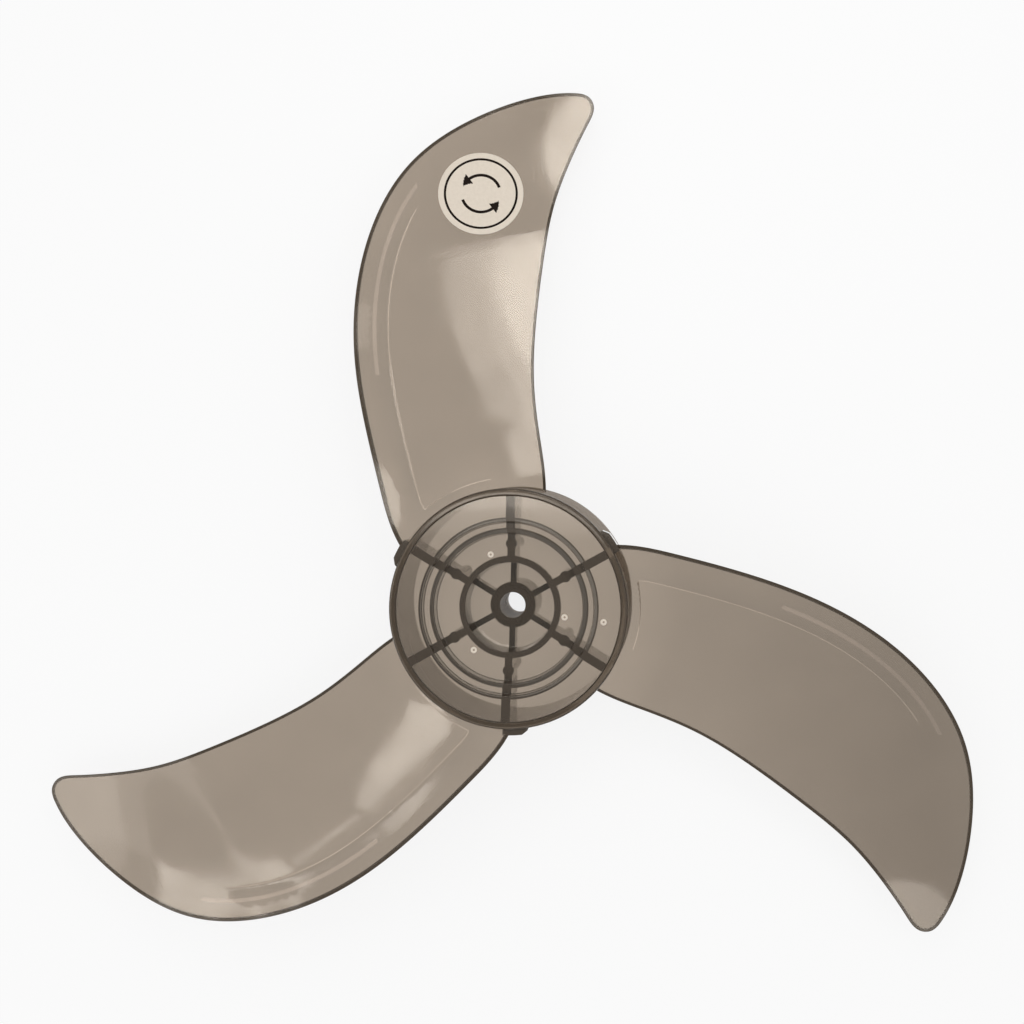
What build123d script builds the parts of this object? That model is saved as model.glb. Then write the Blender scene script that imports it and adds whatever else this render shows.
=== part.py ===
from build123d import *
import os
from math import cos, sin, radians

# Three-blade axial fan impeller, one clear moulding, with a round paper label on one blade.
# Millimetres. The shaft axis is Z, the front of the fan faces +Z, and the rear plane of
# the hub, on which the impeller rests, is z = 0.

# Hub cup: a drafted wall, open at the rear, closed by a stepped front face
hub_height = 57.5
hub_front_radius = 54.5
hub_rear_radius = 56.1
wall = 2.6
rim_bevel = 1.6
rim_lip_width = 3.4
rim_lip_height = 0.6

# Front face, from the outside in: each level is a depth below the rim, each step a radius
face_thickness = 2.2
shoulder_radius = 39.4
shoulder_depth = 3.4
shoulder_wall = 1.7
dish_radius = 34.2
dish_depth = 8.4
dish_wall = 2.1
recess_radius = 20.6
recess_depth = 21.5
recess_wall = 2.7
step_draft = 0.5

# Shaft boss
boss_radius = 10.3
boss_draft = 0.6
bore_diameter = 12.0

# Ribs behind the face, thicker outside the recess, and the ejector pads on them
rib_count = 6
rib_phase = 28.7
rib_outer_thickness = 4.0
rib_inner_thickness = 2.8
rib_rear_height = 23.5
pad_circle_radius = 29.2
pad_diameter = 5.2
pad_rear_height = 12.5

# Moulding gates on the dish: a shallow round mark with a nub
gate_count = 3
gate_phase = 110.0
gate_circle_radius = 25.7
gate_diameter = 3.0
gate_depth = 0.35
gate_nub_diameter = 1.2

# Blades, given for the first one, which points along +Y
blade_count = 3
blade_thickness = 1.9
# Edges seen along the shaft, as radius and angle: front edge outwards, tip, rear edge inwards
front_edge = [(48.0, 156.3), (60.0, 148.8), (80.0, 138.0), (105.0, 129.5), (135.0, 122.7), (165.0, 116.7),
              (195.0, 110.2), (220.0, 103.1)]
tip_edge = [(230.0, 98.9), (238.0, 94.5), (244.0, 90.5), (248.0, 87.1), (250.2, 83.6), (249.0, 81.9),
            (245.0, 81.2), (236.0, 81.5)]
rear_edge = [(220.0, 82.8), (195.0, 84.5), (165.0, 85.4), (135.0, 85.8), (105.0, 85.0), (80.0, 81.2),
             (60.0, 75.4), (48.0, 71.3)]
# Front surface: heights above two lines along the blade at each distance from the shaft,
# and the depth of the hollow between the lines
front_line = -75.0
rear_line = 15.0
blade_stations = [
    (20.0, 75.1, 33.8, 6.8),
    (60.0, 59.0, 31.1, 4.2),
    (105.0, 50.6, 25.8, 3.7),
    (140.0, 43.6, 24.1, 2.8),
    (180.0, 36.5, 21.5, 2.5),
    (215.0, 34.4, 18.1, 3.4),
    (259.0, 31.8, 17.9, 2.4),
]
blade_margin = 40.0

# Lugs on the hub wall, each going on from a blade's front edge and falling to the wall at its end
lug_start = 147.5
lug_full_angle = 9.0
lug_end_angle = 13.0
lug_proud = 2.8
lug_top = 55.8
lug_height = 13.0

# Label on the front of the first blade
label_diameter = 41.0
label_thickness = 0.25
label_glue = 0.1
label_centre = (-17.2, 198.4)
label_flat_count = 6


def polar(radius, angle, height=0.0):
    """A point at a radius and an angle in degrees about the shaft axis."""
    return Vector(radius * cos(radians(angle)), radius * sin(radians(angle)), height)


def revolved(points):
    """The solid of a closed radius-height outline turned about the shaft."""
    return revolve(make_face(Polyline(*[(r, 0, z) for r, z in points], close=True)), Axis.Z)


def face_levels():
    """Heights of the front face's three levels and of the recess floor."""
    top = hub_height - rim_lip_height
    return top, hub_height - shoulder_depth, hub_height - dish_depth, hub_height - recess_depth


def hub_envelope():
    """The hub as a filled body: drafted wall, bevelled rim and the stepped front face."""
    top, shoulder, dish, floor = face_levels()
    lip = hub_front_radius - rim_lip_width
    steps = [
        (recess_radius - step_draft, floor),
        (recess_radius, dish),
        (dish_radius - step_draft, dish),
        (dish_radius, shoulder),
        (shoulder_radius - step_draft, shoulder),
        (shoulder_radius, top),
    ]
    rim = [
        (lip, top),
        (lip + rim_lip_height, hub_height),
        (hub_front_radius - rim_bevel, hub_height),
        (hub_front_radius - rim_bevel * 0.3, hub_height - rim_bevel * 0.3),
        (hub_front_radius, hub_height - rim_bevel),
    ]
    return revolved([(0, 0), (0, floor)] + steps + rim + [(hub_rear_radius, 0)])


def hub_cavity():
    """The space behind the front face, between the boss and the hub wall."""
    top, shoulder, dish, floor = face_levels()
    t = face_thickness
    points = [
        (boss_radius + boss_draft, 0),
        (boss_radius, floor - t),
        (recess_radius - step_draft + recess_wall, floor - t),
        (recess_radius + recess_wall, dish - t),
        (dish_radius - step_draft + dish_wall, dish - t),
        (dish_radius + dish_wall, shoulder - t),
        (shoulder_radius - step_draft + shoulder_wall, shoulder - t),
        (shoulder_radius + shoulder_wall, top - t),
        (hub_front_radius - wall, top - t),
        (hub_rear_radius - wall, 0),
    ]
    return revolved(points)


def rib_web(thickness, inner, outer):
    """One straight rib along +X behind the face, from an inner to an outer radius."""
    length = outer - inner
    height = hub_height - rib_rear_height
    web = Box(length, thickness, height, align=(Align.MIN, Align.CENTER, Align.MIN))
    return Pos(inner, 0, rib_rear_height) * web


def rib():
    """A rib with its thin inner part, its thick outer part and its ejector pad."""
    thick = rib_web(rib_outer_thickness, recess_radius, hub_front_radius - wall / 2)
    thin = rib_web(rib_inner_thickness, boss_radius - 1.0, recess_radius + 1.0)
    pad_height = hub_height - pad_rear_height
    pad = Pos(pad_circle_radius, 0, pad_rear_height) * Cylinder(
        pad_diameter / 2, pad_height, align=(Align.CENTER, Align.CENTER, Align.MIN)
    )
    return thick + thin + pad


def hub():
    """The cup with its ribs, pads, boss, bore and gate marks."""
    envelope = hub_envelope()
    ribs = [Rot(0, 0, rib_phase + 360 / rib_count * k) * rib() for k in range(rib_count)]
    body = (envelope - hub_cavity()) + [envelope & r for r in ribs]
    bore = Cylinder(bore_diameter / 2, hub_height, align=(Align.CENTER, Align.CENTER, Align.MIN))
    body -= bore
    dish = face_levels()[2]
    for k in range(gate_count):
        centre = polar(gate_circle_radius, gate_phase + 360 / gate_count * k, dish)
        ring = Cylinder(gate_diameter / 2, 2 * gate_depth) - Cylinder(gate_nub_diameter / 2, 2 * gate_depth)
        body -= Pos(centre) * ring
    return body


def station_height(station, x):
    """Height of the blade's front surface at a station, which is a parabola across the blade."""
    distance, front_height, rear_height, hollow = station
    t = (x - front_line) / (rear_line - front_line)
    return front_height + t * (rear_height - front_height) - hollow * 4 * t * (1 - t)


def blade_front():
    """The hollowed front surface of a blade, wider than the blade all round."""
    left = front_line - blade_margin / 4
    right = rear_line + blade_margin
    middle = (left + right) / 2
    wires = []
    for station in blade_stations:
        y = station[0]
        ends = [station_height(station, left), station_height(station, right)]
        peak = 2 * station_height(station, middle) - sum(ends) / 2
        wires.append(Wire([Bezier((left, y, ends[0]), (middle, y, peak), (right, y, ends[1]))]))
    return Shell.make_loft(wires).faces()[0]


def blade_outline():
    """The blade seen along the shaft, as a flat face."""
    points = [polar(radius, angle) for radius, angle in front_edge + tip_edge + rear_edge]
    return make_face(Spline(*points) + Line(points[-1], points[0]))


def blade(front):
    """The first blade: a layer behind its front surface, cut to its outline, rooted in the hub wall."""
    layer = Solid.thicken(front, -blade_thickness, normal_override=(0, 0, 1))
    body = layer & extrude(blade_outline(), hub_height + wall)
    root = wall / 2
    core = [(0, 0), (hub_rear_radius - root, 0), (hub_front_radius - root, hub_height), (0, hub_height)]
    return body - revolved(core)


def lug():
    """The lug beside the first blade's front edge, seen along the shaft as a tapered block."""
    inner = hub_front_radius - wall / 2
    outer = hub_front_radius + lug_proud
    end = lug_start + lug_full_angle
    back = [polar(inner, lug_start + lug_end_angle), polar(inner, lug_start)]
    arc = ThreePointArc(polar(outer, lug_start), polar(outer, (lug_start + end) / 2), polar(outer, end))
    plan = make_face(arc + Polyline(polar(outer, end), *back, polar(outer, lug_start)))
    return Pos(0, 0, lug_top - lug_height) * extrude(plan, lug_height)


def impeller(front):
    """The whole moulding: hub, blades and lugs in one solid."""
    body = hub()
    one_blade = blade(front)
    one_lug = lug()
    turns = [Rot(0, 0, 360 / blade_count * k) for k in range(blade_count)]
    return body + [turn * one_blade for turn in turns] + [turn * one_lug for turn in turns]


def label(front):
    """The round label: a sheet bent one way in narrow flats, a film of glue above the first blade."""
    x, y = label_centre
    reach = label_diameter / 2 + 1.0

    def seat(dx, dy):
        line = Axis((x + dx, y + dy, 0), (0, 0, 1))
        return front.find_intersection_points(line)[0][0] + Vector(0, 0, label_glue)

    start = seat(0, -reach)
    run = seat(0, reach) - start
    shift = start - seat(0, 0)
    under = [seat(2 * reach * k / label_flat_count - reach, 0) + shift for k in range(label_flat_count + 1)]
    over = [point + Vector(0, 0, label_thickness) for point in reversed(under)]
    sheet = extrude(make_face(Polyline(*under, *over, close=True)), run.length, dir=run)
    return sheet & Pos(x, y) * Cylinder(label_diameter / 2, 2 * hub_height)


os.makedirs("parts", exist_ok=True)
first_front = blade_front()
pieces = {"impeller": impeller(first_front), "round_label": label(first_front)}
for name, solid in pieces.items():
    solid.label = name
    export_step(solid, f"parts/{name}.step")
    print(name, solid.volume, len(solid.solids()), solid.is_valid)
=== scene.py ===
import bpy
import numpy as np
from math import cos, sin, pi, radians, sqrt, atan2
from mathutils import Matrix, Vector
from mathutils.geometry import delaunay_2d_cdt


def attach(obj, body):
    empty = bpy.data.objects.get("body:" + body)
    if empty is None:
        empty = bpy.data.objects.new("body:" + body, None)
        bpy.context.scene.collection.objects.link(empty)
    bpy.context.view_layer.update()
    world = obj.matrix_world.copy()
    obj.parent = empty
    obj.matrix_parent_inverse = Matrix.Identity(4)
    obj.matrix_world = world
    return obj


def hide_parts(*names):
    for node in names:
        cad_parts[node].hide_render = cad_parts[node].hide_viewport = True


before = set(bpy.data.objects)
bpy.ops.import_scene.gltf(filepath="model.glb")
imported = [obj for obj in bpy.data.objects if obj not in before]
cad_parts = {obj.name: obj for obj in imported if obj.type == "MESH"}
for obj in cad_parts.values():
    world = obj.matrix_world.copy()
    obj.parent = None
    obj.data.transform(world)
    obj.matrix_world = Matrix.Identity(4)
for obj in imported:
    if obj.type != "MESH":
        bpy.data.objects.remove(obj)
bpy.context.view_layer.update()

# The axial fan impeller dressed for its picture: the clear moulding with its small roundings,
# finishes and painted shade and highlights, the paper label, a white floor, lamps and a camera. Lengths in
# the shapes are in millimetres, and those of the lamps, the floor and the camera in metres.

MM = 0.001

# Finishes of the moulding, and its painted shade and highlights, in the order of its material slots
CLEAR, PAINTED_EDGE_SHADE, SCAR, PAINTED_CREASE_HIGHLIGHT, PAINTED_LIGHT_LINE, PAINTED_WALL_SHADE, PAINTED_RIM_SHADE = range(7)

# Hub, as in the part's source
hub_height = 57.5
hub_front_radius = 54.5
hub_rear_radius = 56.1
wall = 2.6
rim_lip_radius = 51.1
rim_lip_height = 0.6
rim_bevel = 1.6
face_thickness = 2.2
face_height = 56.9
shoulder_height = 54.1
dish_height = 49.1
recess_height = 36.0
shoulder_radius = 39.4
shoulder_wall = 1.7
dish_radius = 34.2
dish_wall = 2.1
recess_radius = 20.6
recess_wall = 2.7
step_draft = 0.5
boss_radius = 10.3
boss_draft = 0.6
bore_radius = 6.0
hub_facets = 256

# Ribs behind the face, from the inside out, and their ejector pads
rib_count = 6
rib_phase = 28.7
rib_rear_height = 23.5
rib_thin_width = 2.7
rib_middle_width = 3.3
rib_thick_width = 3.8
rib_draft = 0.005
pad_circle_radius = 29.2
pad_rear_height = 12.5
pad_radius = 2.6
pad_buried_height = 47.6

# Round marks on the face: three gates on the dish and one more mark near the rim
gate_count = 3
gate_phase = 110.0
gate_circle_radius = 25.7
outer_mark = (43.9, -7.7, 56.9)
gate_nub_radius = 0.55
gate_ring_radius = 1.35
gate_depth = 0.35

# Lugs on the hub wall
lug_root_radius = 53.4
lug_proud = 2.8
lug_start = 147.5
lug_rear_height = 42.8
lug_front_height = 55.8

# Blades, as in the part's source
blade_count = 3
blade_turn = 360 / blade_count
blade_thickness = 1.9
# Edges seen along the shaft, as radius and angle, and heights of the front surface along the blade
front_edge = [(48.0, 156.3), (60.0, 148.8), (80.0, 138.0), (105.0, 129.5), (135.0, 122.7), (165.0, 116.7),
              (195.0, 110.2), (220.0, 103.1)]
tip_edge = [(230.0, 98.9), (238.0, 94.5), (244.0, 90.5), (248.0, 87.1), (250.2, 83.6), (249.0, 81.9),
            (245.0, 81.2), (236.0, 81.5)]
rear_edge = [(220.0, 82.8), (195.0, 84.5), (165.0, 85.4), (135.0, 85.8), (105.0, 85.0), (80.0, 81.2),
             (60.0, 75.4), (48.0, 71.3)]
front_line = -75.0
rear_line = 15.0
blade_stations = [
    (20.0, 75.1, 33.8, 6.8),
    (60.0, 59.0, 31.1, 4.2),
    (105.0, 50.6, 25.8, 3.7),
    (140.0, 43.6, 24.1, 2.8),
    (180.0, 36.5, 21.5, 2.5),
    (215.0, 34.4, 18.1, 3.4),
    (259.0, 31.8, 17.9, 2.4),
]
root_radius = 52.9

# Where a blade's own shading starts, and the sector of bearings that holds the first blade
lug_reach = 58.0
sector_start = 55
sector_width = 110

# Blade edges: their rounding, the band beside it painted dark as shade, and the slant below it
edge_round = 0.3
painted_edge_shade_band = 1.3
edge_slant = 1.55

# The fine step on a blade's front, with a painted highlight along it, and the softer line of painted light
# beside it
crease_inset = 15.4
crease_proud = 0.22
crease_blur = 0.09
crease_plateau = 1.0
crease_run_out = 9.0
line_half_width = 0.15
soft_inset = 9.3
soft_half_width = 0.9

# Net of points over a blade
loop_spacing = 1.15
net_spacing = 2.2
row_share = 0.866
net_to_edge = 3.2
net_to_crease = 1.7
net_to_soft = 1.8
lines_to_edge = 3.0

# Label, as in the part's source, and its print
label_radius = 20.5
label_centre = (-17.2, 198.4)
label_under = 0.05
label_over = 0.32
label_facets = 144
ring_inner = 16.7
ring_outer = 17.8
arrow_radius = 9.2
arrow_half_width = 0.75
arrow_head_half_width = 2.9
arrow_start = 20
arrow_neck = 128
arrow_tip = 158


# curves and surfaces

class Natural:
    """A natural cubic spline through values at rising places."""

    def __init__(self, places, values):
        self.x = np.asarray(places, float)
        self.y = np.asarray(values, float)
        if self.y.ndim == 1:
            self.y = self.y[:, None]
        n = len(self.x)
        h = np.diff(self.x)
        a = np.zeros((n, n))
        b = np.zeros((n, self.y.shape[1]))
        a[0, 0] = a[-1, -1] = 1.0
        for i in range(1, n - 1):
            a[i, i - 1] = h[i - 1]
            a[i, i] = 2 * (h[i - 1] + h[i])
            a[i, i + 1] = h[i]
            b[i] = 6 * ((self.y[i + 1] - self.y[i]) / h[i] - (self.y[i] - self.y[i - 1]) / h[i - 1])
        self.m = np.linalg.solve(a, b)

    def __call__(self, t):
        t = np.atleast_1d(np.asarray(t, float))
        i = np.clip(np.searchsorted(self.x, t) - 1, 0, len(self.x) - 2)
        h = (self.x[i + 1] - self.x[i])[:, None]
        p = ((self.x[i + 1] - t)[:, None]) / h
        q = 1 - p
        m0, m1 = self.m[i], self.m[i + 1]
        return p * self.y[i] + q * self.y[i + 1] + ((p ** 3 - p) * m0 + (q ** 3 - q) * m1) * h * h / 6


def polar(radius, angle):
    """The place of a radius and an angle in degrees."""
    return radius * cos(radians(angle)), radius * sin(radians(angle))


station_curve = Natural([s[0] for s in blade_stations], [s[1:] for s in blade_stations])


def front_height(x, y):
    """Height of the first blade's front surface, for arrays of places."""
    v = station_curve(y)
    t = (np.asarray(x) - front_line) / (rear_line - front_line)
    return v[:, 0] + t * (v[:, 1] - v[:, 0]) - 4 * v[:, 2] * t * (1 - t)


def front_slope(x, y, step=0.5):
    """Slopes of the front surface along x and y, and the length of its upright normal (-gx, -gy, 1)."""
    gx = (front_height(x + step, y) - front_height(x - step, y)) / (2 * step)
    gy = (front_height(x, y + step) - front_height(x, y - step)) / (2 * step)
    return gx, gy, np.sqrt(1 + gx * gx + gy * gy)


def anticlockwise(loop):
    """A closed outline, turned round if it runs clockwise."""
    after = np.roll(loop, -1, axis=0)
    area = 0.5 * np.sum(loop[:, 0] * after[:, 1] - after[:, 0] * loop[:, 1])
    return loop[::-1] if area < 0 else loop


def resample(points, step, closed=False):
    """Points spread evenly along a polyline."""
    p = np.asarray(points, float)
    if closed:
        p = np.vstack([p, p[:1]])
    d = np.r_[0, np.cumsum(np.hypot(*np.diff(p, axis=0).T))]
    n = max(2, int(round(d[-1] / step)))
    s = np.linspace(0, d[-1], n + 1)
    if closed:
        s = s[:-1]
    return np.c_[np.interp(s, d, p[:, 0]), np.interp(s, d, p[:, 1])]


def edge_curve():
    """The blade's outline as a dense polyline, from the front root round the tip to the rear root."""
    pts = np.array([polar(r, a) for r, a in front_edge + tip_edge + rear_edge])
    s = np.r_[0, np.cumsum(np.hypot(*np.diff(pts, axis=0).T))]
    return Natural(s, pts)(np.linspace(0, s[-1], 3000))


def nearest(points, line):
    """Distance of each point to a dense polyline."""
    out = np.full(len(points), 1e9)
    for k in range(0, len(line), 400):
        away = points[:, None, :2] - line[None, k:k + 400, :2]
        out = np.minimum(out, np.hypot(away[..., 0], away[..., 1]).min(axis=1))
    return out


def inside(points, loop):
    """Which points lie inside a closed polyline."""
    x, y = points[:, 0], points[:, 1]
    hit = np.zeros(len(points), bool)
    for (x0, y0), (x1, y1) in zip(loop, np.roll(loop, -1, axis=0)):
        if y0 == y1:
            continue
        crosses = (y0 > y) != (y1 > y)
        hit ^= crosses & (x < (x1 - x0) * (y - y0) / (y1 - y0) + x0)
    return hit


# meshes

sharp_from = 32
flat_weight = 75
surface_tolerance = 0.02
facing = 0.99


def new_object(name, verts, faces, smooth=True):
    """A mesh object of places in metres and faces."""
    mesh = bpy.data.meshes.new(name)
    mesh.from_pydata([tuple(v) for v in verts], [], faces)
    mesh.update()
    mesh.validate()
    if smooth:
        mesh.polygons.foreach_set("use_smooth", [True] * len(mesh.polygons))
    obj = bpy.data.objects.new(name, mesh)
    bpy.context.collection.objects.link(obj)
    return obj


def rounded(points, steps=5):
    """A closed outline of (r, z, radius) corners, each corner with a radius turned into an arc."""
    out = []
    n = len(points)
    for i in range(n):
        p = np.array(points[i][:2], float)
        radius = points[i][2]
        a = np.array(points[i - 1][:2], float) - p
        b = np.array(points[(i + 1) % n][:2], float) - p
        la, lb = np.hypot(*a), np.hypot(*b)
        a, b = a / la, b / lb
        angle = np.arccos(np.clip(a @ b, -1, 1))
        if radius <= 0 or angle > pi - 0.02:
            out.append(tuple(p))
            continue
        cut = min(radius / np.tan(angle / 2), 0.49 * la, 0.49 * lb)
        radius = cut * np.tan(angle / 2)
        mid = (a + b) / np.hypot(*(a + b))
        centre = p + mid * radius / np.sin(angle / 2)
        start, end = p + a * cut - centre, p + b * cut - centre
        a0, a1 = atan2(start[1], start[0]), atan2(end[1], end[0])
        turn = (a1 - a0 + pi) % (2 * pi) - pi
        for k in range(steps + 1):
            t = a0 + turn * k / steps
            out.append((centre[0] + radius * cos(t), centre[1] + radius * sin(t)))
    return out


def lathe(name, outline, segments):
    """A closed outline in (r, z) turned about the shaft."""
    verts, faces = [], []
    n = len(outline)
    if sum(a[0] * b[1] - b[0] * a[1] for a, b in zip(outline, outline[1:] + outline[:1])) < 0:
        outline = outline[::-1]
    for k in range(segments):
        c, s = cos(2 * pi * k / segments), sin(2 * pi * k / segments)
        verts += [(r * c * MM, r * s * MM, z * MM) for r, z in outline]
    for k in range(segments):
        a, b = k * n, (k + 1) % segments * n
        for i in range(n):
            j = (i + 1) % n
            faces.append((a + i, b + i, b + j, a + j))
    return new_object(name, verts, faces)


def between_ends(name, verts):
    """A solid from the corners of one end and then, in the same order, those of the other."""
    n = len(verts) // 2
    faces = [(i, (i + 1) % n, n + (i + 1) % n, n + i) for i in range(n)]
    faces.append(tuple(range(n - 1, -1, -1)))
    faces.append(tuple(range(n, 2 * n)))
    return new_object(name, verts, faces)


def prism(name, plan, low, high):
    """A plan polygon pulled up from low to high."""
    plan = anticlockwise(np.asarray(plan, float))
    return between_ends(name, [(x * MM, y * MM, z * MM) for z in (low, high) for x, y in plan])


def joined(target, tools, operation="UNION"):
    """target with each tool added or cut, as one clean mesh. The tools are removed."""
    for tool in tools:
        mod = target.modifiers.new("join", "BOOLEAN")
        mod.object = tool
        mod.operation = operation
        mod.solver = "MANIFOLD"
    depsgraph = bpy.context.evaluated_depsgraph_get()
    mesh = bpy.data.meshes.new_from_object(target.evaluated_get(depsgraph))
    target.modifiers.clear()
    old = target.data
    target.data = mesh
    bpy.data.meshes.remove(old)
    for tool in tools:
        data = tool.data
        bpy.data.objects.remove(tool)
        if data.users == 0:
            bpy.data.meshes.remove(data)
    return target


def with_even_flats(obj):
    """obj with flats that shade as flats right up to their rounded borders."""
    obj.data.polygons.foreach_set("use_smooth", [True] * len(obj.data.polygons))
    obj.data.set_sharp_from_angle(angle=radians(sharp_from))
    mod = obj.modifiers.new("even_flats", "WEIGHTED_NORMAL")
    mod.keep_sharp = True
    mod.weight = flat_weight
    depsgraph = bpy.context.evaluated_depsgraph_get()
    mesh = bpy.data.meshes.new_from_object(
        obj.evaluated_get(depsgraph), preserve_all_data_layers=True, depsgraph=depsgraph
    )
    obj.modifiers.clear()
    old = obj.data
    name = old.name
    obj.data = mesh
    bpy.data.meshes.remove(old)
    mesh.name = name
    return obj


def with_true_blade_normals(obj):
    """obj with its blades shaded by the exact slope of their surface, so that reflections run smoothly."""
    mesh = obj.data
    places = np.empty(len(mesh.vertices) * 3)
    mesh.vertices.foreach_get("co", places)
    places = places.reshape(-1, 3) / MM
    corner_vertex = np.empty(len(mesh.loops), int)
    mesh.loops.foreach_get("vertex_index", corner_vertex)
    normals = np.empty(len(mesh.loops) * 3)
    mesh.corner_normals.foreach_get("vector", normals)
    normals = normals.reshape(-1, 3)
    face_normals = np.empty(len(mesh.polygons) * 3)
    mesh.polygon_normals.foreach_get("vector", face_normals)
    sizes = np.empty(len(mesh.polygons), int)
    mesh.polygons.foreach_get("loop_total", sizes)
    corner_face = np.repeat(face_normals.reshape(-1, 3), sizes, axis=0)
    bearing = np.degrees(np.arctan2(places[:, 1], places[:, 0]))
    radius = np.hypot(places[:, 0], places[:, 1])
    for k in range(blade_count):
        mine = (radius > lug_reach) & ((bearing - blade_turn * k - sector_start) % 360 < sector_width)
        index = np.nonzero(mine)[0]
        turn = radians(blade_turn * k)
        x = places[index, 0] * cos(turn) + places[index, 1] * sin(turn)
        y = -places[index, 0] * sin(turn) + places[index, 1] * cos(turn)
        gx, gy, factor = front_slope(x, y)
        depth = (front_height(x, y) - places[index, 2]) / factor
        on_front = np.abs(depth) < surface_tolerance
        on_rear = np.abs(depth - blade_thickness) < surface_tolerance
        known = on_front | on_rear
        slopes = np.zeros((len(places), 3))
        slopes[index[known], 0] = ((-gx * cos(turn) + gy * sin(turn)) / factor)[known]
        slopes[index[known], 1] = ((-gx * sin(turn) - gy * cos(turn)) / factor)[known]
        slopes[index[known], 2] = (1 / factor)[known]
        exact = slopes[corner_vertex]
        along = np.sum(exact * corner_face, axis=1)
        near = np.abs(along) > facing
        normals[near] = exact[near] * np.sign(along[near])[:, None]
    mesh.normals_split_custom_set(normals.tolist())
    return obj


def turned(obj, angle):
    """A copy of a mesh object with its vertices turned about the shaft."""
    mesh = obj.data.copy()
    mesh.transform(Matrix.Rotation(radians(angle), 4, "Z"))
    copy = bpy.data.objects.new(obj.name, mesh)
    bpy.context.collection.objects.link(copy)
    return copy


# hub

def hub():
    """The cup: face steps, recess, boss and bore in one turned outline."""
    front = [
        (bore_radius, recess_height, 0.3),
        (recess_radius - step_draft, recess_height, 0.5),
        (recess_radius, dish_height, 0.4),
        (dish_radius - step_draft, dish_height, 0.5),
        (dish_radius, shoulder_height, 0.4),
        (shoulder_radius - step_draft, shoulder_height, 0.5),
        (shoulder_radius, face_height, 0.4),
        (rim_lip_radius, face_height, 0.25),
        (rim_lip_radius + rim_lip_height, hub_height, 0.3),
        (hub_front_radius, hub_height, rim_bevel),
    ]
    behind_face = face_height - face_thickness
    behind_shoulder = shoulder_height - face_thickness
    behind_dish = dish_height - face_thickness
    behind_recess = recess_height - face_thickness
    rear = [
        (hub_rear_radius, 0.0, 0.35),
        (hub_rear_radius - wall, 0.0, 0.35),
        (hub_front_radius - wall, behind_face, 0.6),
        (shoulder_radius + shoulder_wall, behind_face, 0.4),
        (shoulder_radius - step_draft + shoulder_wall, behind_shoulder, 0.4),
        (dish_radius + dish_wall, behind_shoulder, 0.4),
        (dish_radius - step_draft + dish_wall, behind_dish, 0.4),
        (recess_radius + recess_wall, behind_dish, 0.4),
        (recess_radius - step_draft + recess_wall, behind_recess, 0.5),
        (boss_radius, behind_recess, 0.6),
        (boss_radius + boss_draft, 0.0, 0.4),
        (bore_radius, 0.0, 0.4),
    ]
    return lathe("hub_shell", rounded(front + rear), hub_facets)


def rib_profile(points, thickness, name):
    """A flat rib standing in the plane of the shaft, from (r, z) points, slightly thicker at the front."""
    verts = []
    for side in (-1, 1):
        for r, z in points:
            half = thickness / 2 + (z - rib_rear_height) * rib_draft
            verts.append((r * MM, side * half * MM, z * MM))
    return between_ends(name, verts)


def ribs():
    """The ribs in three lengths, thin, middle and thick, and the ejector pad on each.

    Each profile is in (r, z). It ends inside the face, whose steps it follows, and inside the wall.
    """
    low = rib_rear_height
    thin = [(8.2, low), (22.0, low), (22.0, 34.9), (8.2, 34.9)]
    thick = [(34.6, low), (54.1, low), (53.3, 55.8), (40.1, 55.8), (40.0, 53.0), (35.1, 53.0), (35.0, 48.0),
             (34.6, 48.0)]
    middle = [(21.4, low), (36.0, low), (36.0, 46.6), (34.8, 48.0), (21.9, 48.0)]
    parts = [
        (thin, rib_thin_width, "rib_thin"),
        (middle, rib_middle_width, "rib_middle"),
        (thick, rib_thick_width, "rib_thick"),
    ]
    pad_outline = rounded([
        (0.001, pad_buried_height, 0),
        (0.001, pad_rear_height, 0),
        (pad_radius, pad_rear_height, 0.3),
        (pad_radius, pad_buried_height, 0),
    ])
    out = []
    for k in range(rib_count):
        angle = rib_phase + 360 / rib_count * k
        for outline, width, name in parts:
            rib = rib_profile(outline[::-1], width, name)
            rib.data.transform(Matrix.Rotation(radians(angle), 4, "Z"))
            out.append(rib)
        x, y = polar(pad_circle_radius, angle)
        pad = lathe("pad", pad_outline, 40)
        pad.data.transform(Matrix.Translation((x * MM, y * MM, 0)))
        out.append(pad)
    return out


def gate_cutters():
    """Small shallow rings for the gate marks, with a nub left inside, flared towards the front."""
    step = 360 / gate_count
    places = [(gate_circle_radius, gate_phase + step * k, dish_height) for k in range(gate_count)]
    out = []
    for radius, angle, height in places + [outer_mark]:
        low, high = height - gate_depth, height + 0.3
        outline = [
            (gate_nub_radius, low),
            (gate_ring_radius, low),
            (gate_ring_radius + 0.25, high),
            (gate_nub_radius - 0.15, high),
        ]
        ring = lathe("gate", outline, 32)
        x, y = polar(radius, angle)
        ring.data.transform(Matrix.Translation((x * MM, y * MM, 0)))
        out.append(ring)
    return out


def lug():
    """The lug beside the first blade: a raised arc that falls back to the hub wall at its end."""
    outer = hub_front_radius + lug_proud
    lug_end = lug_start + 13.0
    arc = [polar(outer, lug_start + k * 0.75) for k in range(13)]
    fall = [polar(55.6, lug_end - 1.1), polar(lug_root_radius, lug_end)]
    back = [polar(lug_root_radius, lug_end - k * 1.3) for k in range(1, 11)]
    return prism("lug", arc + fall + back, lug_rear_height, lug_front_height)


# blades

def inset_line(edge, inset, inner, outer):
    """A line a distance in from the blade's front edge, between two radii, from the tip end inwards."""
    radius = np.hypot(edge[:, 0], edge[:, 1])
    tangent = np.gradient(edge, axis=0)
    tangent /= np.hypot(*tangent.T)[:, None]
    line = edge + np.c_[tangent[:, 1], -tangent[:, 0]] * inset
    reach = np.hypot(line[:, 0], line[:, 1])
    keep = (np.arange(len(edge)) < radius.argmax()) & (reach > inner) & (reach < outer)
    return line[keep][::-6]


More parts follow.
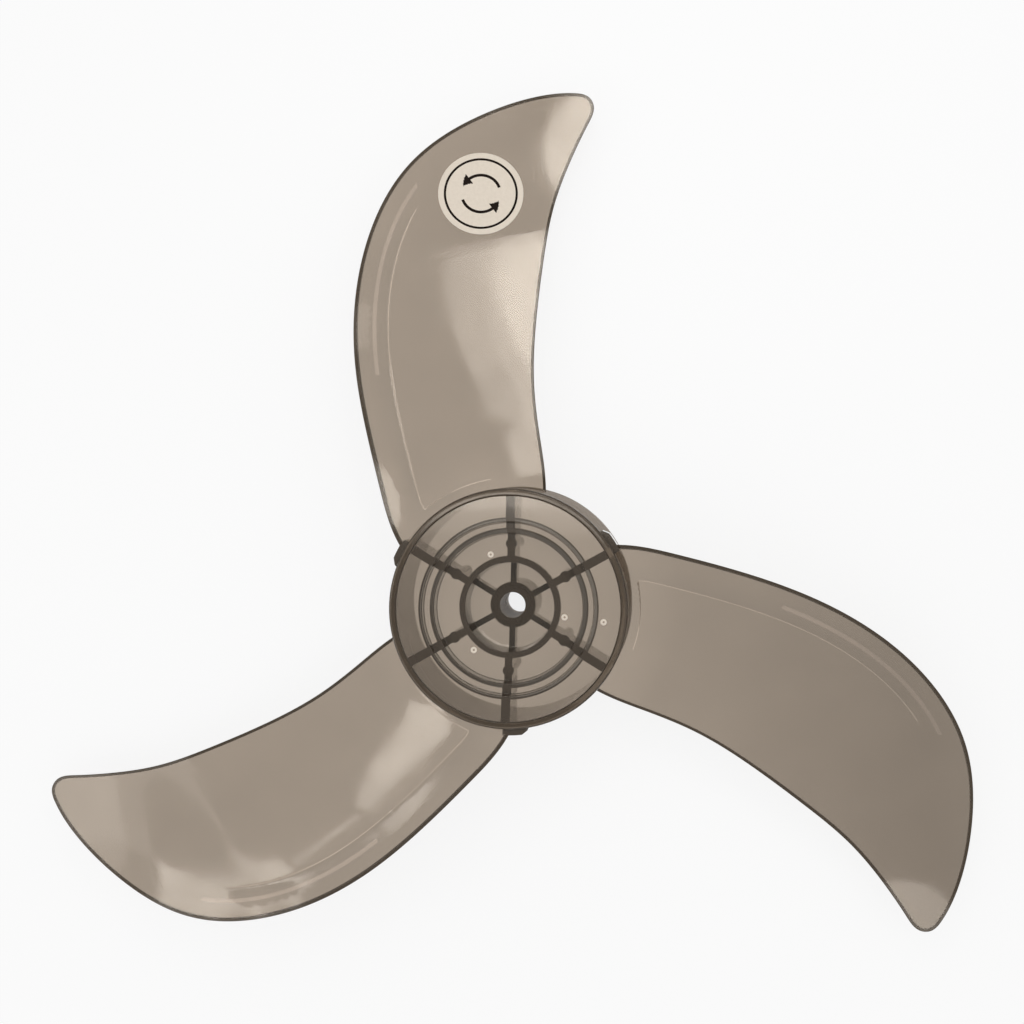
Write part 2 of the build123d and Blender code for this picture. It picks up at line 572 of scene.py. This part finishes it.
def crease_line():
    """The fine step on the blade's front, along the front edge and then round the hub."""
    line = inset_line(edge_curve(), crease_inset, 63.0, 196.0)
    corner = atan2(line[-1][1], line[-1][0]) + radians(0.6)
    turn = [polar(60.0, a) for a in np.linspace(np.degrees(corner), 100.0, 30)]
    return resample(np.vstack([line, turn]), 0.8)


def soft_line():
    """The soft lighter line between the crease and the front edge, painted light in place of a highlight.
    """
    return resample(inset_line(edge_curve(), soft_inset, 124.0, 207.0), 1.2)


def sideways(line):
    """Unit vectors across a line, to its left."""
    along = np.gradient(line, axis=0)
    along /= np.hypot(*along.T)[:, None]
    return np.c_[-along[:, 1], along[:, 0]]


def blade():
    """The first blade: a sheet of even thickness with rounded edges, over a fine net of points."""
    edge = edge_curve()
    radius = np.hypot(edge[:, 0], edge[:, 1])
    keep = edge[radius > root_radius]
    a0 = atan2(keep[-1][1], keep[-1][0])
    a1 = atan2(keep[0][1], keep[0][0])
    bearings = [a0 + (a1 - a0) * k / 60 for k in range(1, 60)]
    root = [(root_radius * cos(a), root_radius * sin(a)) for a in bearings]
    loop = resample(np.vstack([keep, root]), loop_spacing, closed=True)
    loop = anticlockwise(loop)
    n = len(loop)
    tangent = np.roll(loop, -1, axis=0) - np.roll(loop, 1, axis=0)
    tangent /= np.hypot(*tangent.T)[:, None]
    inward = np.c_[-tangent[:, 1], tangent[:, 0]]
    insets = [0.0, 0.03, 0.1, 0.2, edge_round, 0.6, 0.95, painted_edge_shade_band, edge_slant, 1.9, 2.4]
    rings = [loop + inward * d for d in insets]
    crease = crease_line()
    soft = soft_line()
    lo, hi = loop.min(axis=0), loop.max(axis=0)
    rows = []
    for j, y in enumerate(np.arange(lo[1], hi[1], net_spacing * row_share)):
        xs = np.arange(lo[0] + (j % 2) * net_spacing / 2, hi[0], net_spacing)
        rows.append(np.c_[xs, np.full(len(xs), y)])
    grid = np.vstack(rows)
    dense = resample(loop, 0.5, closed=True)
    grid = grid[inside(grid, loop)]
    grid = grid[nearest(grid, dense) > net_to_edge]
    grid = grid[nearest(grid, crease) > net_to_crease]
    grid = grid[nearest(grid, soft) > net_to_soft]
    side = sideways(crease)
    across_crease = (-0.75, -line_half_width, -0.1, 0.1, line_half_width, 0.75)
    across_soft = (-soft_half_width, 0.0, soft_half_width)
    line_points = np.vstack(
        [crease + side * d for d in across_crease] + [soft + sideways(soft) * d for d in across_soft]
    )
    line_points = line_points[inside(line_points, loop)]
    line_points = line_points[nearest(line_points, dense) > lines_to_edge]
    points = np.vstack(rings + [grid, line_points])
    edges = []
    for k in (0, insets.index(edge_round), insets.index(painted_edge_shade_band), insets.index(edge_slant)):
        edges += [(k * n + i, k * n + (i + 1) % n) for i in range(n)]
    result = delaunay_2d_cdt([Vector(p) for p in points], edges, [], 1, 1e-5)
    flat = np.array([tuple(v) for v in result[0]])
    faces = [tuple(f) for f in result[2]]
    inset = nearest(flat, resample(loop, 0.1, closed=True))
    on_edge = np.zeros(len(flat), bool)
    for i, origins in enumerate(result[3]):
        for origin in origins:
            if origin < n * len(insets):
                inset[i] = insets[origin // n]
            if origin < n:
                on_edge[i] = True
                inset[i] = 0.0
                break
    near = np.minimum(inset, edge_round)
    drop = edge_round - np.sqrt(edge_round ** 2 - (edge_round - near) ** 2)
    slant = np.clip(inset / edge_slant, 0, 1)
    deep = edge_round + (blade_thickness - edge_round) * slant
    factor = front_slope(flat[:, 0], flat[:, 1])[2]
    front = front_height(flat[:, 0], flat[:, 1])
    top = front - drop * factor + step_height(flat, crease, side) * (inset > edge_slant)
    bottom = front - deep * factor
    verts = [(x * MM, y * MM, z * MM) for (x, y), z in zip(flat, top)]
    lower = {}
    for i, (x, y) in enumerate(flat):
        if on_edge[i]:
            lower[i] = i
        else:
            lower[i] = len(verts)
            verts.append((x * MM, y * MM, bottom[i] * MM))
    all_faces, finish = [], []
    centres = flat[np.array(faces)].mean(axis=1)
    on_painted_crease_highlight = nearest(centres, resample(crease, 0.2)) < line_half_width
    on_painted_light_line = nearest(centres, resample(soft, 0.2)) < soft_half_width
    # Each face gets its slot: painted shade on the edge band, painted highlights on the crease and the soft
    # line
    for number, f in enumerate(faces):
        in_painted_edge_shade = max(inset[i] for i in f) < painted_edge_shade_band + 0.01
        a, b, c = flat[f[0]], flat[f[1]], flat[f[2]]
        if (b[0] - a[0]) * (c[1] - a[1]) - (c[0] - a[0]) * (b[1] - a[1]) < 0:
            f = f[::-1]
        all_faces.append(f)
        all_faces.append(tuple(lower[i] for i in f[::-1]))
        if in_painted_edge_shade:
            finish += [PAINTED_EDGE_SHADE, PAINTED_EDGE_SHADE]
        elif on_painted_crease_highlight[number]:
            finish += [PAINTED_CREASE_HIGHLIGHT, CLEAR]
        elif on_painted_light_line[number]:
            finish += [PAINTED_LIGHT_LINE, CLEAR]
        else:
            finish += [CLEAR, CLEAR]
    obj = new_object("blade", verts, all_faces)
    obj.data.polygons.foreach_set("material_index", finish)
    return obj


def step_height(points, line, side):
    """A low step across the crease, proud on the side of the blade's front edge, fading away from it."""
    d = np.full(len(points), 1e9)
    signed = np.zeros(len(points))
    along = np.zeros(len(points))
    for k in range(len(line)):
        v = points - line[k]
        dist = np.hypot(v[:, 0], v[:, 1])
        closer = dist < d
        d[closer] = dist[closer]
        signed[closer] = (v @ side[k])[closer]
        along[closer] = k / (len(line) - 1)
    fade = np.clip(along * 14, 0, 1) * np.clip((1 - along) * 8, 0, 1)
    rise = 1 / (1 + np.exp(np.clip(signed / crease_blur, -60, 60)))
    reach = np.clip(1 - (d - crease_plateau) / crease_run_out, 0, 1)
    return crease_proud * rise * fade * reach


def paint_hub_shade(mesh):
    """Paint shade on the hub's outer wall, the bore and the rim: each gets a dark material of its own."""
    for face in mesh.polygons:
        if face.material_index != CLEAR:
            continue
        x, y, z = face.center / MM
        radius = sqrt(x * x + y * y)
        outward = (face.normal.x * x + face.normal.y * y) / max(radius, 0.001)
        on_wall = hub_front_radius - 0.2 < radius < hub_rear_radius + 0.2 and z < hub_height - 1.5
        in_bore = radius < bore_radius + 0.2
        on_lip = rim_lip_radius + 0.5 < radius < hub_front_radius - 0.1 and z > hub_height - 0.2
        if on_wall and outward > 0.8 or in_bore and outward < -0.8:
            face.material_index = PAINTED_WALL_SHADE
        elif on_lip:
            face.material_index = PAINTED_RIM_SHADE


def impeller(finishes_and_painted_shade):
    """The whole moulding in one mesh: hub, ribs, pads, blades and lugs, with the gate marks cut in."""
    body = hub()
    one = blade()
    one_lug = lug()
    adds = ribs()
    for k in range(blade_count):
        adds.append(turned(one, blade_turn * k))
        adds.append(turned(one_lug, blade_turn * k))
    for obj in (one, one_lug):
        data = obj.data
        bpy.data.objects.remove(obj)
        bpy.data.meshes.remove(data)
    cutters = gate_cutters()
    for obj in [body] + adds + cutters:
        for mat in finishes_and_painted_shade:
            obj.data.materials.append(mat)
    for obj in cutters:
        obj.data.polygons.foreach_set("material_index", [SCAR] * len(obj.data.polygons))
    body = joined(body, adds)
    body = joined(body, cutters, "DIFFERENCE")
    paint_hub_shade(body.data)
    body.name = "impeller_moulding"
    body.data.name = "impeller_moulding"
    return body


# label

def label():
    """The round paper label, following the blade, with a printed ring and two turning arrows."""
    over_arrows = list(np.arange(5.8, 12.7, 0.35))
    border = [14.5, ring_inner, ring_outer, 18.6, 19.6, 20.2, 20.42, label_radius]
    radii = [0.0, 2.0, 4.0] + over_arrows + border
    count = label_facets
    cx, cy = label_centre
    centre_height = front_height(np.array([cx]), np.array([cy]))[0]
    verts, faces, inks = [], [], []

    def layer(radius, lift):
        turns = [2 * pi * k / count for k in range(count)]
        pts = np.array([(cx + radius * cos(t), cy + radius * sin(t)) for t in turns])
        z = front_height(pts[:, 0], pts[:, 1]) + lift
        start = len(verts)
        verts.extend([(x * MM, y * MM, h * MM) for (x, y), h in zip(pts, z)])
        return start

    def rim_drop(radius):
        if radius < 20.4:
            return 0.0
        return 0.03 if radius < 20.45 else 0.1

    starts = [layer(r, label_over - rim_drop(r)) for r in radii[1:]]
    centre = len(verts)
    verts.append((cx * MM, cy * MM, (centre_height + label_over) * MM))
    lower = layer(radii[-1], label_under)
    lower_centre = len(verts)
    verts.append((cx * MM, cy * MM, (centre_height + label_under) * MM))
    inner_lower = layer(10.0, label_under)

    def inked(radius, k):
        angle = 360 * (k + 0.5) / count % 180
        band = 0.0
        if arrow_start < angle < arrow_neck:
            band = arrow_half_width
        elif arrow_neck <= angle < arrow_tip:
            band = arrow_head_half_width * (arrow_tip - angle) / (arrow_tip - arrow_neck)
        return int(ring_inner < radius < ring_outer or abs(radius - arrow_radius) < band)

    for k in range(count):
        j = (k + 1) % count
        faces.append((centre, starts[0] + k, starts[0] + j))
        inks.append(0)
        for i in range(len(starts) - 1):
            a, b = starts[i], starts[i + 1]
            faces.append((a + k, b + k, b + j, a + j))
            inks.append(inked((radii[i + 1] + radii[i + 2]) / 2, k))
        last = starts[-1]
        faces.append((last + k, lower + k, lower + j, last + j))
        inks.append(0)
        faces.append((lower + k, inner_lower + k, inner_lower + j, lower + j))
        inks.append(0)
        faces.append((inner_lower + k, lower_centre, inner_lower + j))
        inks.append(0)
    obj = new_object("paper_label", verts, faces)
    obj.data.polygons.foreach_set("material_index", inks)
    return obj


# materials

# The plastic's tint through its depth, and the floor's glow: its share, and its strength as seen through
# the plastic at the far right (painted shade on that blade) and, added to that, under the hub (painted
# light)
volume_colour = (0.492, 0.530, 0.564, 1)
floor_glow_share = 0.84
painted_shade_glow_far_right = 0.55
painted_light_glow_under_hub = 0.30


def material(name):
    """An empty material, with its node tree and its output node."""
    mat = bpy.data.materials.new(name)
    mat.use_nodes = True
    tree = mat.node_tree
    tree.nodes.clear()
    out = tree.nodes.new("ShaderNodeOutputMaterial")
    return mat, tree, out


def node(tree, kind, **inputs):
    """A node with the named inputs set, where an underscore in a name stands for a space."""
    n = tree.nodes.new(kind)
    for key, value in inputs.items():
        n.inputs[key.replace("_", " ")].default_value = value
    return n


def noise(tree, scale, detail, roughness, coords):
    """The grey value of a noise over the object's own coordinates."""
    n = node(tree, "ShaderNodeTexNoise", Scale=scale, Detail=detail, Roughness=roughness)
    tree.links.new(coords, n.inputs["Vector"])
    return n.outputs["Fac"]


def remap(tree, value, low, high, start=0.3, end=0.7):
    """value, which runs from start to end, spread over low to high."""
    n = tree.nodes.new("ShaderNodeMapRange")
    tree.links.new(value, n.inputs["Value"])
    n.inputs["From Min"].default_value = start
    n.inputs["From Max"].default_value = end
    n.inputs["To Min"].default_value = low
    n.inputs["To Max"].default_value = high
    return n.outputs["Result"]


def two_tone(tree, value, dark, light):
    """A colour that runs from dark to light with a value."""
    ramp = tree.nodes.new("ShaderNodeValToRGB")
    for element, position, colour in zip(ramp.color_ramp.elements, (0.3, 0.7), (dark, light)):
        element.position = position
        element.color = (*colour, 1)
    tree.links.new(value, ramp.inputs["Fac"])
    return ramp.outputs["Color"]


def wavy(tree, value, shader, strength, distance):
    """Let a value shape the shader's surface, without moving it."""
    bump = node(tree, "ShaderNodeBump", Strength=strength, Distance=distance)
    tree.links.new(value, bump.inputs["Height"])
    tree.links.new(bump.outputs["Normal"], shader.inputs["Normal"])


def smoke_plastic(name, colour, clearness, gloss, density=0.0, shine=0.5):
    """Smoke-brown plastic, slightly wavy, with a soft handling haze, and tinted through its depth."""
    mat, tree, out = material(name)
    coords = tree.nodes.new("ShaderNodeTexCoord").outputs["Object"]
    shader = node(tree, "ShaderNodeBsdfPrincipled", Metallic=0.0, IOR=1.5)
    shader.inputs["Transmission Weight"].default_value = clearness
    shader.inputs["Specular IOR Level"].default_value = shine
    shader.inputs["Specular Tint"].default_value = (1.0, 0.92, 0.82, 1)
    tone = noise(tree, 30.0, 3.0, 0.5, coords)
    dark = [c * 0.97 for c in colour]
    light = [min(1.0, c * 1.03) for c in colour]
    tree.links.new(two_tone(tree, tone, dark, light), shader.inputs["Base Color"])
    haze = noise(tree, 55.0, 4.0, 0.6, coords)
    tree.links.new(remap(tree, haze, gloss * 0.6, gloss * 1.4), shader.inputs["Roughness"])
    waves = noise(tree, 22.0, 2.0, 0.4, coords)
    wavy(tree, waves, shader, 0.02, 0.002)
    tree.links.new(shader.outputs["BSDF"], out.inputs["Surface"])
    if density > 0:
        volume = node(tree, "ShaderNodeVolumeAbsorption", Color=volume_colour, Density=density)
        tree.links.new(volume.outputs["Volume"], out.inputs["Volume"])
    return mat


def paper(name, light, dark, roughness, shine=0.5):
    """Fibrous paper or print on it, from a light and a dark tone."""
    mat, tree, out = material(name)
    coords = tree.nodes.new("ShaderNodeTexCoord").outputs["Object"]
    shader = node(tree, "ShaderNodeBsdfPrincipled", Metallic=0.0, IOR=1.45)
    shader.inputs["Specular IOR Level"].default_value = shine
    fibre = noise(tree, 700.0, 5.0, 0.65, coords)
    tree.links.new(two_tone(tree, fibre, dark, light), shader.inputs["Base Color"])
    dullness = remap(tree, fibre, roughness - 0.08, roughness + 0.08)
    tree.links.new(dullness, shader.inputs["Roughness"])
    wavy(tree, fibre, shader, 0.15, 0.0001)
    tree.links.new(shader.outputs["BSDF"], out.inputs["Surface"])
    return mat


def arithmetic(tree, operation, first, second):
    """The result of a sum on two values, each one a number or a socket."""
    n = tree.nodes.new("ShaderNodeMath")
    n.operation = operation
    for socket, value in zip(n.inputs, (first, second)):
        if isinstance(value, float):
            socket.default_value = value
        else:
            tree.links.new(value, socket)
    return n.outputs[0]


def floor_material():
    """White floor that glows a little, so that it stays white around a soft shadow.

    Seen through the plastic, its glow falls off to the right and is stronger under the hub: painted shade
    on the right blade and painted light in the hub.
    """
    mat, tree, out = material("white_sweep")
    path = tree.nodes.new("ShaderNodeLightPath")
    coords = tree.nodes.new("ShaderNodeTexCoord").outputs["Object"]
    seen = arithmetic(tree, "SUBTRACT", 1.0, path.outputs["Is Diffuse Ray"])
    diffuse = node(tree, "ShaderNodeBsdfDiffuse", Color=(0.9, 0.9, 0.9, 1))
    glow = node(tree, "ShaderNodeEmission", Color=(1, 1, 1, 1))
    place = tree.nodes.new("ShaderNodeSeparateXYZ")
    tree.links.new(coords, place.inputs["Vector"])
    # Painted shade: the glow seen through the plastic falls off to the right; painted light: it is stronger
    # under the hub
    fall = remap(tree, place.outputs["X"], 1.0, painted_shade_glow_far_right, 0.04, 0.20)
    reach = tree.nodes.new("ShaderNodeVectorMath")
    reach.operation = "LENGTH"
    tree.links.new(coords, reach.inputs[0])
    under_hub = remap(tree, reach.outputs["Value"], painted_light_glow_under_hub, 0.0, 0.045, 0.080)
    below = arithmetic(tree, "ADD", fall, under_hub)
    bent = arithmetic(tree, "MAXIMUM", path.outputs["Is Transmission Ray"], path.outputs["Is Glossy Ray"])
    through = tree.nodes.new("ShaderNodeMix")
    through.data_type = "FLOAT"
    tree.links.new(bent, through.inputs["Factor"])
    through.inputs[2].default_value = 1.0
    tree.links.new(below, through.inputs[3])
    tree.links.new(through.outputs[0], glow.inputs["Strength"])
    mix = tree.nodes.new("ShaderNodeMixShader")
    share = arithmetic(tree, "MULTIPLY", seen, floor_glow_share)
    tree.links.new(share, mix.inputs["Fac"])
    tree.links.new(diffuse.outputs["BSDF"], mix.inputs[1])
    tree.links.new(glow.outputs["Emission"], mix.inputs[2])
    tree.links.new(mix.outputs["Shader"], out.inputs["Surface"])
    return mat


# put together

plastic = smoke_plastic("smoke_brown_plastic", (0.79, 0.62, 0.47), 0.91, 0.06, density=815.0)
# Painted shade: a dark band along the blade edges, for the darkness of light's long path through them
painted_edge_shade_plastic = smoke_plastic("smoke_brown_painted_edge_shade", (0.06, 0.040, 0.022), 0.30, 0.10)
scar_plastic = smoke_plastic("frosted_gate_mark", (0.86, 0.78, 0.68), 0.35, 0.45)
# Painted highlight: a pale line along the crease's step, where its glint would be
painted_crease_highlight_plastic = smoke_plastic("painted_crease_highlight", (0.60, 0.51, 0.42), 0.80, 0.20)
# Painted highlight: a lighter line beside the crease, without the plastic's absorption
painted_light_line_plastic = smoke_plastic("smoke_plastic_painted_light_line", (0.31, 0.265, 0.225), 0.91, 0.08)
# Painted shade: dark brown on the hub's outer wall and the bore, where light's long path darkens them
painted_wall_shade_plastic = smoke_plastic("smoke_brown_painted_wall_shade", (0.27, 0.22, 0.17), 0.20, 0.25, shine=0.0)
# Painted shade: near black on the rim lip, for the dark of light's path down the hub wall
painted_rim_shade_plastic = smoke_plastic("smoke_brown_painted_rim_shade", (0.085, 0.062, 0.042), 0.30, 0.10)
cream = paper("label_paper", (0.80, 0.71, 0.60), (0.74, 0.65, 0.54), 0.55)
ink = paper("label_ink", (0.014, 0.007, 0.004), (0.009, 0.005, 0.003), 0.5, shine=0.1)

finishes_and_painted_shade = [plastic, painted_edge_shade_plastic, scar_plastic, painted_crease_highlight_plastic, painted_light_line_plastic, painted_wall_shade_plastic, painted_rim_shade_plastic]
moulding = with_true_blade_normals(with_even_flats(impeller(finishes_and_painted_shade)))
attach(moulding, "root")
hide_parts("impeller")

sticker = label()
sticker.data.materials.append(cream)
sticker.data.materials.append(ink)
sticker.data.set_sharp_from_angle(angle=radians(40))
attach(sticker, "root")
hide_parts("round_label")

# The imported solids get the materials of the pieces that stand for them
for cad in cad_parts.values():
    cad.data.materials.clear()
    cad.data.materials.append(plastic if "impeller" in cad.name else cream)

# A wide plain floor
half_floor = 4
floor_corners = [
    (-half_floor, -half_floor, 0),
    (half_floor, -half_floor, 0),
    (half_floor, half_floor, 0),
    (-half_floor, half_floor, 0),
]
floor = new_object("floor", floor_corners, [(0, 1, 2, 3)], smooth=False)
floor.data.materials.append(floor_material())


# light and camera

def softbox(name, centre, size, radiance, height, turn=0.0):
    """A soft rectangular light facing down, turned about the vertical by an angle in degrees."""
    light = bpy.data.lights.new(name, "AREA")
    light.shape = "RECTANGLE"
    light.size, light.size_y = size
    light.energy = radiance * pi * size[0] * size[1]
    obj = bpy.data.objects.new(name, light)
    obj.location = (*centre, height)
    obj.rotation_euler = (0, 0, radians(turn))
    obj.visible_camera = False
    bpy.context.collection.objects.link(obj)


# Heights of the lamps, which are placed where the blades and the hub mirror them
ceiling = 1.5
table_light = 0.4

# Over the first blade
softbox("back_wide", (0.0481, 0.2666), (0.134, 0.060), 3.5, table_light, -62)
softbox("back_upper", (0.0355, 0.3445), (0.015, 0.017), 2.2, table_light + 0.006)
softbox("back_middle", (0.0415, 0.262), (0.130, 0.040), 1.6, table_light + 0.002, -65)
softbox("back_strip", (0.0478, 0.277), (0.1545, 0.013), 4.6, table_light + 0.004, -73.3)
softbox("back_low", (0.084, 0.182), (0.020, 0.056), 4.5, table_light)
softbox("back_tip", (-0.012, 0.378), (0.040, 0.046), 8.0, table_light)
softbox("back_root", (0.225, 0.279), (0.100, 0.050), 4.5, table_light, 12)
softbox("back_far", (0.110, 0.352), (0.070, 0.035), 1.2, table_light, -40)
# Over the third blade
softbox("left_band", (-0.367, 0.015), (0.058, 0.055), 5.0, table_light, 18)
softbox("left_band_end", (-0.400, -0.0145), (0.036, 0.016), 4.5, table_light, 30)
softbox("left_strip", (-0.4425, -0.084), (0.114, 0.008), 2.6, table_light, 71)
softbox("left_low", (-0.459, -0.1565), (0.019, 0.024), 5.0, table_light)
softbox("left_low_end", (-0.486, -0.1655), (0.036, 0.010), 3.0, table_light)
softbox("left_tip", (-0.407, -0.190), (0.022, 0.060), 1.4, table_light)
softbox("left_tip_wide", (-0.420, -0.192), (0.055, 0.050), 1.0, table_light + 0.002)
# Over the second blade and the hub
softbox("front_tip", (0.54, -0.60), (0.16, 0.10), 3.0, ceiling)
softbox("hub_top", (-0.14, 0.09), (0.46, 0.10), 4.5, ceiling)
softbox("hub_upper", (-0.14, 0.035), (0.40, 0.07), 1.2, ceiling)

# A dome of pale light, from the horizon upwards, behind a plain pale background
dome_foot = (0.0, 0.03)
dome_top = (1.0, 0.30)
dome_between = ((0.10, 0.08), (0.50, 0.80), (0.90, 0.85), (0.97, 0.35))
background_strength = 0.985
world = bpy.data.worlds.new("studio")
world.use_nodes = True
sky = world.node_tree
background = sky.nodes["Background"]
background.inputs["Color"].default_value = (1, 1, 1, 1)
direction = sky.nodes.new("ShaderNodeTexCoord")
parts = sky.nodes.new("ShaderNodeSeparateXYZ")
sky.links.new(direction.outputs["Generated"], parts.inputs["Vector"])
glow_by_height = sky.nodes.new("ShaderNodeFloatCurve")
dome = glow_by_height.mapping.curves[0]
dome.points[0].location = dome_foot
dome.points[1].location = dome_top
for place, strength in dome_between:
    dome.points.new(place, strength)
glow_by_height.mapping.update()
sky.links.new(parts.outputs["Z"], glow_by_height.inputs["Value"])
rays = sky.nodes.new("ShaderNodeLightPath")
choice = sky.nodes.new("ShaderNodeMix")
choice.data_type = "FLOAT"
sky.links.new(rays.outputs["Is Camera Ray"], choice.inputs["Factor"])
sky.links.new(glow_by_height.outputs["Value"], choice.inputs[2])
choice.inputs[3].default_value = background_strength
sky.links.new(choice.outputs[0], background.inputs["Strength"])
bpy.context.scene.world = world

# Camera, fitted to the photo: picture width, focal length and optical centre in pixels
picture_pixels = 1024.0
focal_pixels = 1236.0
centre_pixel_x = 567.76
centre_pixel_y = 468.04
sensor = 36.0
eye = Vector((0.06368, 0.04633, 0.61553))
looking = Vector((-0.06494, 0.03096, -0.99741))
upright = Vector((0.00201, 0.99952, 0.03089))
camera_data = bpy.data.cameras.new("camera")
camera_data.sensor_width = sensor
camera_data.lens = sensor * focal_pixels / picture_pixels
camera_data.shift_x = (picture_pixels / 2 - centre_pixel_x) / picture_pixels
camera_data.shift_y = (centre_pixel_y - picture_pixels / 2) / picture_pixels
camera = bpy.data.objects.new("camera", camera_data)
forward = looking.normalized()
right = forward.cross(upright).normalized()
up = right.cross(forward)
camera.matrix_world = Matrix((
    (right.x, up.x, -forward.x, eye.x),
    (right.y, up.y, -forward.y, eye.y),
    (right.z, up.z, -forward.z, eye.z),
    (0, 0, 0, 1),
))
bpy.context.collection.objects.link(camera)
bpy.context.scene.camera = camera
bpy.context.scene.view_settings.view_transform = "Standard"
